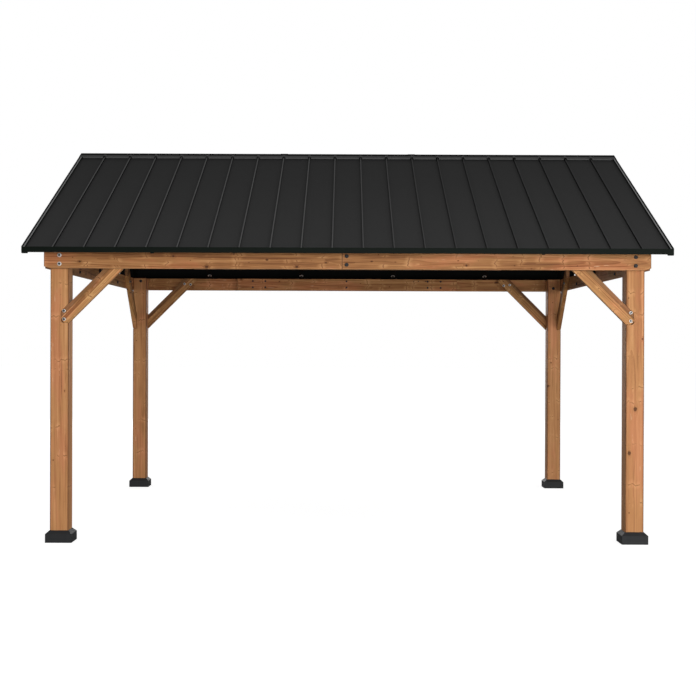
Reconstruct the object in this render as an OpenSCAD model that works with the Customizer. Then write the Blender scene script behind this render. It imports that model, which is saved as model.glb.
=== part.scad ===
// Gabled garden gazebo: timber posts, beams and knee braces under a standing-seam steel roof.
// Millimetres, +Z up. The origin is on the ground at the middle of the footprint.
// The long side runs along X, the front faces -Y, and the ridge runs along X.

/* [Posts] */
// Side of a square post
post_s = 132; // [100:1:150]
// Distance between post centres along the front
post_span_x = 4112; // [3600:4:4140]
// Distance between post centres along the side
post_span_y = 3480; // [3000:5:3600]
// Bevel along the post arrises
post_bevel = 5; // [2:0.5:8]

/* [Post bases] */
// Outer side of a base cover at the ground
base_w = 188; // [162:1:210]
// Height of a base cover
base_h = 86; // [60:1:120]
// Height of the bevelled top of a base cover
base_bevel_h = 24; // [12:1:40]
// Gap between a base cover and its post
base_gap = 0.3; // [0:0.1:2]

/* [Beams] */
// Height of the underside of the beams above the ground
beam_z = 1955; // [1800:5:2300]
// Depth of a beam board
beam_h = 116; // [100:1:150]
// Thickness of a beam board
beam_t = 38; // [30:1:45]
// Distance of the front and back beam joints from the middle
beam_joint_off = 40; // [0:5:200]
// Length of the clipped lower corner at the ends of the front and back beams
clip_l = 50; // [20:1:100]
// Height of the clipped lower corner
clip_h = 13; // [5:1:40]
// Bevel along the board arrises
board_bevel = 2; // [1:0.5:4]
// Length of a splice board
splice_l = 2200; // [1200:10:2600]
// Thickness of a splice board
splice_t = 38; // [30:1:45]

/* [Knee braces] */
// Depth of a knee brace across its grain
brace_w = 96; // [70:1:110]
// Thickness of a knee brace
brace_t = 38; // [25:1:45]
// Distance from the post face to where the lower edge of a brace meets the beam underside
brace_leg = 385; // [365:1:450]
// How far the foot of a brace is housed into its post
brace_house = 42; // [20:1:45]
// Length of a brace from the post face to its upper end cut
brace_reach = 478; // [420:1:495]

/* [Roof frame] */
// Number of rafter pairs between the gables
rafter_count = 4; // [2:1:6]
// Distance between the inner rafter pairs
rafter_pitch = 914; // [500:2:1000]
// Depth of a rafter channel
rafter_h = 84; // [75:1:110]
// Width of a rafter channel
rafter_w = 40; // [30:1:50]
// Thickness of the steel of channels, plates and brackets
steel_t = 3; // [2:0.5:4]
// Width of the foot plate under a rafter
foot_w = 98; // [80:1:130]
// Width of the ridge beam
ridge_w = 60; // [40:1:80]
// Depth of the ridge beam at its side faces
ridge_h = 110; // [90:1:160]
// Width of a king post along the side beam
king_w = 90; // [60:1:110]
// How far the king post plate laps down the side beam
king_lap = 61; // [40:1:100]

/* [Roof] */
// Overall width of the roof along the ridge
roof_w = 4572; // [4400:4:4800]
// Overall depth of the roof from eave to eave
roof_d = 3962; // [3900:2:4200]
// Slope of the roof in degrees
roof_pitch = 25.6; // [20:0.1:30]
// Height from the beam top to the panels above the outer face of the beam
heel_h = 77.5; // [70:0.5:90]
// Number of roof panels on each slope
panel_count = 21; // [12:1:26]
// Thickness of the panel sheet
sheet_t = 3; // [1.5:0.5:4]
// Width of a standing seam
seam_w = 11; // [8:1:16]
// Height of a standing seam above the panel
seam_h = 11; // [8:1:16]

/* [Roof trims] */
// Thickness of the trim sheet
trim_t = 2; // [1:0.5:3]
// Depth of the eave trim face
eave_trim_h = 38; // [30:1:60]
// Width of the eave trim return under the panels
eave_trim_foot = 24; // [15:1:35]
// Depth of the rake trim face
rake_trim_h = 36; // [30:1:70]
// Width of the rake trim flange over the panels
rake_trim_w = 26; // [22:1:50]
// Length of a ridge cap wing along the slope
cap_wing = 104; // [80:1:140]
// Depth of the down-turned lip of the ridge cap
cap_lip = 9; // [4:0.5:10]
// Gap between a lip of the ridge cap and the seam beside it
lip_gap = 8; // [1:0.5:9]
// Width of a saddle pressed into a wing of the ridge cap over a seam
saddle_w = 32; // [24:1:44]
// Length of a saddle along the slope
saddle_l = 34; // [20:1:60]
// Height of a saddle above its wing
saddle_h = 9; // [4:0.5:12]
// Number of panels under the middle piece of the ridge cap
cap_piece_panels = 5; // [1:2:15]
// Width of the strap over a joint of the ridge cap
cap_strap_w = 60; // [45:1:100]
// Gap between the panels and the middle of the ridge
ridge_gap = 8; // [5:1:15]

/* [Hidden] */

// Signs of the two ends of each axis: left and front are negative
left = -1;
right = 1;
front = -1;
back = 1;

// Post faces: the outer faces carry the beams, the inner faces look into the bays
post_x = post_span_x / 2;
post_y = post_span_y / 2;
outer_x = post_x + post_s / 2;
outer_y = post_y + post_s / 2;
inner_x = post_x - post_s / 2;
inner_y = post_y - post_s / 2;

// Beam levels and the outer faces of the beam frame
beam_top = beam_z + beam_h;
frame_x = outer_x + beam_t;
frame_y = outer_y + beam_t;

// Roof levels: the eave point is the top of the panel at its lower edge
half_w = roof_w / 2;
half_d = roof_d / 2;
panel_pitch = roof_w / panel_count;
panel_lift = sheet_t / cos(roof_pitch);
eave_z = beam_top + heel_h + panel_lift - (half_d - frame_y) * tan(roof_pitch);
panel_y = half_d - trim_t;
ridge_z = eave_z + half_d * tan(roof_pitch);
panel_len = (half_d - ridge_gap) / cos(roof_pitch);
seam_rise = seam_h / cos(roof_pitch);

// Underside of the panels at a distance y from the ridge
function under_z(y) = ridge_z - abs(y) * tan(roof_pitch) - panel_lift;

// Ridge beam levels: its side faces end under the panels
ridge_side_z = under_z(ridge_w / 2);
ridge_foot_z = ridge_side_z - ridge_h;

// How far a cutter runs past the faces it cuts
past = 1;

// Colours
wood = "peru";
wood_dark = "sienna";
steel_dark = "dimgray";
steel_black = "darkslategray";

// Section of a board or post with bevelled arrises, centred
module bevelled_section(w, h, bevel) {
    polygon([
        [-w / 2 + bevel, -h / 2], [w / 2 - bevel, -h / 2],
        [w / 2, -h / 2 + bevel], [w / 2, h / 2 - bevel],
        [w / 2 - bevel, h / 2], [-w / 2 + bevel, h / 2],
        [-w / 2, h / 2 - bevel], [-w / 2, -h / 2 + bevel]
    ]);
}

// Board along X from x0 to x1, with its lower face at z and its near face at y
module board_x(x0, x1, y, z, t, h) {
    translate([x0, y + t / 2, z + h / 2])
        rotate([90, 0, 90])
            linear_extrude(x1 - x0)
                bevelled_section(t, h, board_bevel);
}

// Board along Y from y0 to y1, with its lower face at z and its left face at x
module board_y(y0, y1, x, z, t, h) {
    translate([x + t / 2, y1, z + h / 2])
        rotate([90, 0, 0])
            linear_extrude(y1 - y0)
                bevelled_section(t, h, board_bevel);
}

// Outline of a knee brace: u runs from the post face into the bay, v is height
module brace_outline() {
    foot_v = beam_z - brace_leg;
    diagonal = brace_w / cos(45);
    polygon([
        [0, foot_v],
        [-brace_house, foot_v],
        [-brace_house, foot_v + diagonal - brace_house],
        [beam_top - foot_v - diagonal, beam_top],
        [brace_reach, beam_top],
        [brace_reach, foot_v + brace_reach]
    ]);
}

// Knee brace in the plane of the front or back beam
module brace_along_x(sx, sy) {
    mirror([sx > 0 ? 1 : 0, 0, 0])
        mirror([0, sy > 0 ? 1 : 0, 0])
            translate([-inner_x, -outer_y + brace_t, 0])
                rotate([90, 0, 0])
                    linear_extrude(brace_t)
                        brace_outline();
}

// Knee brace in the plane of the left or right beam
module brace_along_y(sx, sy) {
    mirror([sx > 0 ? 1 : 0, 0, 0])
        mirror([0, sy > 0 ? 1 : 0, 0])
            translate([-outer_x, -inner_y, 0])
                rotate([90, 0, 90])
                    linear_extrude(brace_t)
                        brace_outline();
}

// Post with the housings that take the feet of its two braces
module post(sx, sy) {
    color(wood)
        difference() {
            translate([sx * post_x, sy * post_y, 0])
                linear_extrude(beam_top)
                    bevelled_section(post_s, post_s, post_bevel);
            brace_along_x(sx, sy);
            brace_along_y(sx, sy);
        }
}

// Side view of a base cover: upright below, bevelled in to the post above
module base_profile() {
    top_w = post_s + 2 * trim_t;
    polygon([
        [-base_w / 2, 0], [base_w / 2, 0],
        [base_w / 2, base_h - base_bevel_h], [top_w / 2, base_h],
        [-top_w / 2, base_h], [-base_w / 2, base_h - base_bevel_h]
    ]);
}

// Base cover that wraps the foot of a post
module base(sx, sy) {
    hole = post_s + 2 * base_gap;
    color(steel_dark)
        translate([sx * post_x, sy * post_y, 0])
            difference() {
                intersection() {
                    rotate([90, 0, 0])
                        linear_extrude(base_w, center = true)
                            base_profile();
                    rotate([90, 0, 90])
                        linear_extrude(base_w, center = true)
                            base_profile();
                }
                translate([-hole / 2, -hole / 2, -past])
                    cube([hole, hole, base_h + 2 * past]);
            }
}

// Cutter for the clipped lower corner at the left end of the front or back beam
module corner_clip(y) {
    translate([-frame_x, y + beam_t + past, beam_z])
        rotate([90, 0, 0])
            linear_extrude(beam_t + 2 * past)
                polygon([
                    [-past, -past], [clip_l * (1 + past / clip_h), -past],
                    [-past, clip_h * (1 + past / clip_l)]
                ]);
}

// Half of the front or back beam, butted to its other half beside the middle
module beam_x(sx, sy) {
    joint = -beam_joint_off;
    x0 = sx < 0 ? -frame_x : joint;
    x1 = sx < 0 ? joint : frame_x;
    y = sy < 0 ? -frame_y : outer_y;
    color(wood)
        difference() {
            board_x(x0, x1, y, beam_z, beam_t, beam_h);
            mirror([sx > 0 ? 1 : 0, 0, 0])
                corner_clip(y);
        }
}

// Side beam, held between the front and back beams
module beam_y(sx) {
    x = sx < 0 ? -frame_x : outer_x;
    color(wood_dark)
        board_y(-outer_y, outer_y, x, beam_z, beam_t, beam_h);
}

// Splice board over the joint of the front or back beam, on its inner face
module splice_x(sy) {
    y = sy < 0 ? -outer_y : outer_y - splice_t;
    color(wood_dark)
        board_x(-splice_l / 2, splice_l / 2, y, beam_z, splice_t, beam_h);
}

// Knee brace in front or back
module brace_x(sx, sy) {
    color(wood_dark)
        brace_along_x(sx, sy);
}

// Knee brace in a side
module brace_y(sx, sy) {
    color(wood_dark)
        brace_along_y(sx, sy);
}

// Ridge beam with a top that follows both slopes
module ridge_beam() {
    color(steel_black)
        translate([-frame_x, 0, 0])
            rotate([90, 0, 90])
                linear_extrude(2 * frame_x)
                    polygon([
                        [-ridge_w / 2, ridge_foot_z], [ridge_w / 2, ridge_foot_z],
                        [ridge_w / 2, ridge_side_z], [0, under_z(0)],
                        [-ridge_w / 2, ridge_side_z]
                    ]);
}

// King post on a side beam, with a plate bolted to the inner face of the beam
module king_post(sx) {
    color(steel_black)
        mirror([sx > 0 ? 1 : 0, 0, 0]) {
            translate([-frame_x, -king_w / 2, beam_top])
                cube([beam_t, king_w, ridge_foot_z - beam_top]);
            translate([-outer_x, -king_w / 2, beam_top - king_lap])
                cube([steel_t, king_w, 2 * king_lap]);
        }
}

// Channel section of a rafter, open towards +X, with its top at zero
module channel_section() {
    difference() {
        translate([-rafter_w / 2, -rafter_h])
            square([rafter_w, rafter_h]);
        translate([-rafter_w / 2 + steel_t, -rafter_h + steel_t])
            square([rafter_w, rafter_h - 2 * steel_t]);
    }
}

// Rafter of the front slope: cut plumb at the ridge beam and level on its foot plate.
// Its web is on the side away from the middle of the roof.
module rafter(x) {
    level = beam_top + steel_t;
    translate([x, 0, 0])
        mirror([x > 0 ? 1 : 0, 0, 0]) {
            intersection() {
                translate([0, -half_d, eave_z])
                    rotate([90 + roof_pitch, 0, 0])
                        translate([0, -sheet_t, -roof_d])
                            linear_extrude(roof_d)
                                channel_section();
                translate([-rafter_w, -frame_y, level])
                    cube([2 * rafter_w, frame_y - ridge_w / 2, ridge_z]);
            }
            translate([-foot_w / 2, -frame_y, beam_top])
                cube([foot_w, beam_t, steel_t]);
        }
}

// Places of the rafters along the ridge: the inner ones and one over each side beam
rafter_first = -rafter_pitch * (rafter_count - 1) / 2;
gable_rafter_x = frame_x - foot_w / 2;
rafter_x = concat(
    [-gable_rafter_x],
    [for (i = [0 : rafter_count - 1]) rafter_first + i * rafter_pitch],
    [gable_rafter_x]
);

// Rafters of one slope
module rafters(sy) {
    color(steel_black)
        mirror([0, sy > 0 ? 1 : 0, 0])
            for (x = rafter_x)
                rafter(x);
}

// Cross-section of a slope's panels: flat pans with a standing seam between each two
function seam_points(x) = [
    [x - seam_w / 2, 0], [x - seam_w / 2, seam_h],
    [x + seam_w / 2, seam_h], [x + seam_w / 2, 0]
];
module panel_section() {
    edge = half_w - trim_t;
    inner_seams = [for (i = [1 : panel_count - 1]) each seam_points(-half_w + i * panel_pitch)];
    polygon(concat(
        [[-edge, -sheet_t], [-edge, seam_h], [-edge + seam_w, seam_h], [-edge + seam_w, 0]],
        inner_seams,
        [[edge - seam_w, 0], [edge - seam_w, seam_h], [edge, seam_h], [edge, -sheet_t]]
    ));
}

// Places its children on the front slope: Y runs up the slope from the eave, Z stands off it
module on_slope(sy) {
    mirror([0, sy > 0 ? 1 : 0, 0])
        translate([0, -half_d, eave_z])
            rotate([roof_pitch, 0, 0])
                children();
}

// Standing-seam panels of one slope
module roof_slope(sy) {
    color(steel_dark)
        intersection() {
            on_slope(sy)
                translate([0, panel_len, 0])
                    rotate([90, 0, 0])
                        linear_extrude(panel_len)
                            panel_section();
            translate([-half_w, sy < 0 ? -panel_y : 0, 0])
                cube([roof_w, panel_y, 2 * ridge_z]);
        }
}

// Ridge cap levels at the ridge and at the ends of its wings
cap_under_z = ridge_z + (seam_h + trim_t) / cos(roof_pitch);
cap_top_z = cap_under_z + trim_t / cos(roof_pitch);
cap_reach = cap_wing * cos(roof_pitch);
cap_drop = cap_reach * tan(roof_pitch);

// Folded strip across the ridge, centred at x, between two levels measured at the ridge
module cap_strip(x, w, z0, z1) {
    translate([x - w / 2, 0, 0])
        rotate([90, 0, 90])
            linear_extrude(w)
                polygon([
                    [0, z1], [-cap_reach, z1 - cap_drop], [-cap_reach, z0 - cap_drop],
                    [0, z0], [cap_reach, z0 - cap_drop], [cap_reach, z1 - cap_drop]
                ]);
}

// Lips of the ridge cap over one pan, from x0 to x1: they hang from the ends of both wings
module cap_lips(x0, x1) {
    end_z = cap_under_z - cap_drop;
    for (side = [front, back])
        translate([x0, side * (cap_reach - trim_t / 2) - trim_t / 2, end_z - cap_lip])
            cube([x1 - x0, trim_t, cap_lip + trim_t / 2]);
}

// Saddle form over the seam at x, at the lower ends of both wings of the ridge cap. It runs past
// the wing's end and underside by "over".
module cap_saddle(x, w, crown_h, l, over) {
    slope_l = half_d / cos(roof_pitch);
    run = l * cos(roof_pitch) + over;
    for (side = [front, back])
        intersection() {
            on_slope(side)
                translate([x, slope_l, seam_h + trim_t])
                    rotate([90, 0, 0])
                        linear_extrude(slope_l)
                            polygon([
                                [-w / 2, -over], [w / 2, -over], [w / 4, crown_h], [-w / 4, crown_h]
                            ]);
            translate([x - w / 2, side < 0 ? -cap_reach - over : cap_reach + over - run, 0])
                cube([w, run, 2 * ridge_z]);
        }
}

// Ridge cap: wings over the seams and the rake trims, open saddles over the seams, straps over
// the joints and lips over the pans
module ridge_cap() {
    edge_gap = rake_trim_w + lip_gap;
    seam_gap = seam_w / 2 + lip_gap;
    seams = [for (i = [1 : panel_count - 1]) -half_w + i * panel_pitch];
    color(steel_black) {
        difference() {
            union() {
                cap_strip(0, roof_w, cap_under_z, cap_top_z);
                for (side = [left, right])
                    cap_strip(side * cap_piece_panels * panel_pitch / 2, cap_strap_w,
                        cap_under_z, cap_top_z + trim_t);
                for (x = seams)
                    cap_saddle(x, saddle_w, saddle_h + trim_t, saddle_l, 0);
            }
            for (x = seams)
                cap_saddle(x, saddle_w - 2 * trim_t, saddle_h, saddle_l - trim_t, past);
        }
        for (i = [0 : panel_count - 1])
            cap_lips(
                -half_w + i * panel_pitch + (i == 0 ? edge_gap : seam_gap),
                -half_w + (i + 1) * panel_pitch - (i == panel_count - 1 ? edge_gap : seam_gap)
            );
    }
}

// Eave trim: a face over the panel ends with a return under them
module eave_trim(sy) {
    top = eave_z + seam_rise;
    color(steel_black)
        mirror([0, sy > 0 ? 1 : 0, 0])
            translate([-half_w + trim_t, -half_d, 0])
                rotate([90, 0, 90])
                    linear_extrude(roof_w - 2 * trim_t)
                        polygon([
                            [0, top], [0, top - eave_trim_h],
                            [eave_trim_foot, top - eave_trim_h],
                            [eave_trim_foot, top - eave_trim_h + trim_t],
                            [trim_t, top - eave_trim_h + trim_t], [trim_t, top]
                        ]);
}

// Outline run along the rake of one slope, cut plumb at the ridge and at a distance from it
module rake_run(sx, sy, outline, reach) {
    half_len = half_d / cos(roof_pitch);
    intersection() {
        mirror([sx > 0 ? 1 : 0, 0, 0])
            on_slope(sy)
                translate([-half_w, half_len + roof_d / 4, 0])
                    rotate([90, 0, 0])
                        linear_extrude(half_len + roof_d / 2)
                            polygon(outline);
        translate([-half_w, sy < 0 ? -reach : 0, 0])
            cube([roof_w, reach, 2 * ridge_z]);
    }
}

// Rake trim of one slope: a face outside the panel edge, a flange over its seam and a leg down
// to the pan that stops behind the eave trim
module rake_trim(sx, sy) {
    top = seam_h + trim_t;
    leg = rake_trim_w - trim_t;
    color(steel_black) {
        rake_run(sx, sy, [
            [0, top], [0, top - rake_trim_h], [trim_t, top - rake_trim_h], [trim_t, seam_h],
            [rake_trim_w, seam_h], [rake_trim_w, top]
        ], half_d);
        rake_run(sx, sy, [
            [leg, 0], [rake_trim_w, 0], [rake_trim_w, top], [leg, top]
        ], panel_y);
    }
}

post(left, front);  // post_front_left
post(right, front);  // post_front_right
post(left, back);  // post_back_left
post(right, back);  // post_back_right
base(left, front);  // base_front_left
base(right, front);  // base_front_right
base(left, back);  // base_back_left
base(right, back);  // base_back_right
beam_x(left, front);  // beam_front_left
beam_x(right, front);  // beam_front_right
beam_x(left, back);  // beam_back_left
beam_x(right, back);  // beam_back_right
beam_y(left);  // beam_left
beam_y(right);  // beam_right
splice_x(front);  // splice_front
splice_x(back);  // splice_back
brace_x(left, front);  // brace_front_left
brace_x(right, front);  // brace_front_right
brace_x(left, back);  // brace_back_left
brace_x(right, back);  // brace_back_right
brace_y(left, front);  // brace_left_front
brace_y(left, back);  // brace_left_back
brace_y(right, front);  // brace_right_front
brace_y(right, back);  // brace_right_back
ridge_beam();
king_post(left);  // king_post_left
king_post(right);  // king_post_right
rafters(front);  // rafters_front
rafters(back);  // rafters_back
roof_slope(front);  // roof_front
roof_slope(back);  // roof_back
ridge_cap();
eave_trim(front);  // eave_trim_front
eave_trim(back);  // eave_trim_back
rake_trim(left, front);  // rake_trim_left_front
rake_trim(left, back);  // rake_trim_left_back
rake_trim(right, front);  // rake_trim_right_front
rake_trim(right, back);  // rake_trim_right_back
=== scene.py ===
"""Dresses the garden gazebo: stained timber, powder-coated steel and its fasteners."""

import logging
import math
import random
from dataclasses import dataclass
from enum import Enum
from functools import cache
from typing import Iterable, Sequence

import bmesh
import bpy
from mathutils import Matrix, Vector


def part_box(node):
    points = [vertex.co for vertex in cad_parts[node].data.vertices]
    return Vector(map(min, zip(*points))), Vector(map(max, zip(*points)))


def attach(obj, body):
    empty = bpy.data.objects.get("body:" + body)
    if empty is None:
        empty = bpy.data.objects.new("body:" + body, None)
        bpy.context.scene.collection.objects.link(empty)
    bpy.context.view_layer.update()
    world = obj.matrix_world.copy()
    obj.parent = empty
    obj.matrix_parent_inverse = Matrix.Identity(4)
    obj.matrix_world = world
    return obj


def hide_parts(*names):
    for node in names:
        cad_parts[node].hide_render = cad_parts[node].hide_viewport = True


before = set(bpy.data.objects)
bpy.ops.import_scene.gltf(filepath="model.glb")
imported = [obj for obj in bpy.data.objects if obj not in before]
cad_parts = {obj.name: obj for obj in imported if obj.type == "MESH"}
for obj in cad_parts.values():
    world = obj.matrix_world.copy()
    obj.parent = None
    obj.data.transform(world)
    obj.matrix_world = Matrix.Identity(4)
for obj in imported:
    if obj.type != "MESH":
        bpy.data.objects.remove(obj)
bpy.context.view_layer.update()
LOG = logging.getLogger("gazebo")
Colour = tuple[float, float, float]
Point = tuple[float, float]
Socket = bpy.types.NodeSocket
Mesh = bmesh.types.BMesh
X, Y, Z = range(3)
UP = Vector((0, 0, 1))


class Way(Enum):
    """A way along one axis, with the sign that it has there."""

    @property
    def word(self) -> str:
        """The way's name as the nodes spell it."""
        return self.name.lower()


class End(Way):
    """The two ends of the gazebo along X."""

    LEFT = -1
    RIGHT = 1


class Side(Way):
    """The two long sides of the gazebo along Y."""

    FRONT = -1
    BACK = 1


class Grain(Enum):
    """How a timber was cut from its log, which sets the place of the pith."""

    BOXED_POST = "post"
    FLAT_BOARD = "board"


def grey(level: float) -> Colour:
    """Gives a neutral colour."""
    return level, level, level


def edge(name: str, axis: int, way: int) -> float:
    """Reads where a node's box ends on an axis, on the side that the sign of way names."""
    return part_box(name)[1 if way > 0 else 0][axis]


class Shader:
    """A small builder for one node material."""

    def __init__(self, name: str) -> None:
        """Starts a material with one principled shader.

        Args:
            name: The material's name.
        """
        self.material = bpy.data.materials.new(name)
        self.material.use_nodes = True
        self.tree = self.material.node_tree
        self.tree.nodes.clear()
        self.surface = self.node("ShaderNodeBsdfPrincipled")
        self.node("ShaderNodeOutputMaterial", {"Surface": self.surface.outputs["BSDF"]})

    def node(self, kind: str, fed: dict[str | int, object] | None = None,
             **settings: object) -> bpy.types.Node:
        """Adds a node.

        Args:
            kind: The node's type name.
            fed: What its inputs are fed, by their names or numbers.
            settings: Values for the node's own properties.

        Returns:
            The new node.
        """
        made = self.tree.nodes.new(kind)
        for key, value in settings.items():
            setattr(made, key, value)
        for key, value in (fed or {}).items():
            self.feed(made.inputs[key], value)
        return made

    def feed(self, socket: Socket, value: object) -> None:
        """Links a socket or sets its value.

        Args:
            socket: The input to fill.
            value: Another node's output, a number or a tuple.
        """
        if isinstance(value, Socket):
            self.tree.links.new(value, socket)
        elif isinstance(value, tuple) and len(value) == 3 and socket.type == "RGBA":
            socket.default_value = (*value, 1.0)
        else:
            socket.default_value = value

    def coat(self, fed: dict[str, object]) -> None:
        """Feeds the surface's own inputs, by their names."""
        for name, value in fed.items():
            self.feed(self.surface.inputs[name], value)

    def attribute(self, name: str, output: str = "Vector") -> Socket:
        """Reads a mesh attribute by its name."""
        return self.node("ShaderNodeAttribute", attribute_name=name).outputs[output]

    def place(self) -> Socket:
        """Gives the point in the row frame's own coordinates."""
        return self.node("ShaderNodeTexCoord").outputs["Object"]

    def facing(self) -> list[Socket]:
        """Gives the three parts of the way that the surface faces."""
        return self.split(self.node("ShaderNodeNewGeometry").outputs["True Normal"])

    def math(self, how: str, *values: object) -> Socket:
        """Does one sum with numbers, by the operation's name."""
        return self.node("ShaderNodeMath", dict(enumerate(values)), operation=how).outputs[0]

    def times(self, *values: object) -> Socket:
        """Multiplies two numbers, and adds the third where there is one."""
        return self.math("MULTIPLY" if len(values) == 2 else "MULTIPLY_ADD", *values)

    def vector(self, how: str, *values: object) -> Socket:
        """Does one sum with vectors, by the operation's name."""
        return self.node("ShaderNodeVectorMath", dict(enumerate(values)), operation=how).outputs[0]

    def split(self, vector: object) -> list[Socket]:
        """Splits a vector into its three parts."""
        return list(self.node("ShaderNodeSeparateXYZ", {0: vector}).outputs)

    def noise(self, vector: object, scale: float = 1.0, detail: float = 2.0,
              rough: float = 0.5, output: str = "Fac") -> Socket:
        """Adds a noise, with the number of its finer layers and how strong they are."""
        fed = {"Vector": vector, "Scale": scale, "Detail": detail, "Roughness": rough}
        return self.node("ShaderNodeTexNoise", fed).outputs[output]

    def drawn(self, vector: object, along: float, across: float, detail: float = 2.0,
              rough: float = 0.5, output: str = "Fac") -> Socket:
        """Adds a noise that is drawn out along X, with its frequencies along and across it."""
        place = self.vector("MULTIPLY", vector, (along, across, across))
        return self.noise(place, 1.0, detail, rough, output)

    def span(self, value: object, low: float, high: float, start: float = 0.0,
             end: float = 1.0) -> Socket:
        """Turns low to high into start to end, smoothly and held at both ends."""
        fed = {"Value": value, "From Min": low, "From Max": high, "To Min": start, "To Max": end}
        return self.node("ShaderNodeMapRange", fed, interpolation_type="SMOOTHSTEP").outputs[0]

    def ramp(self, value: object, stops: Sequence[tuple[float, Colour]]) -> Socket:
        """Turns a value into a colour.

        Args:
            value: The value.
            stops: Places and colours, lowest first.

        Returns:
            The colour.
        """
        made = self.node("ShaderNodeValToRGB", {"Fac": value})
        band = made.color_ramp
        while len(band.elements) < len(stops):
            band.elements.new(0.5)
        for element, (place, colour) in zip(band.elements, stops):
            element.position, element.color = place, (*colour, 1.0)
        return made.outputs["Color"]

    def mix(self, factor: object, a: object, b: object, how: str = "MIX") -> Socket:
        """Mixes two colours by the share of the second one."""
        return self.node("ShaderNodeMix", {"Factor": factor, 6: a, 7: b}, data_type="RGBA",
                         blend_type=how, clamp_factor=True).outputs[2]

    def bump(self, height: object, strength: float, depth: float) -> None:
        """Gives the surface a relief, from its height of 0 to 1 and its depth in metres."""
        fed = {"Strength": strength, "Distance": depth, "Height": height}
        self.coat({"Normal": self.node("ShaderNodeBump", fed).outputs["Normal"]})


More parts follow.
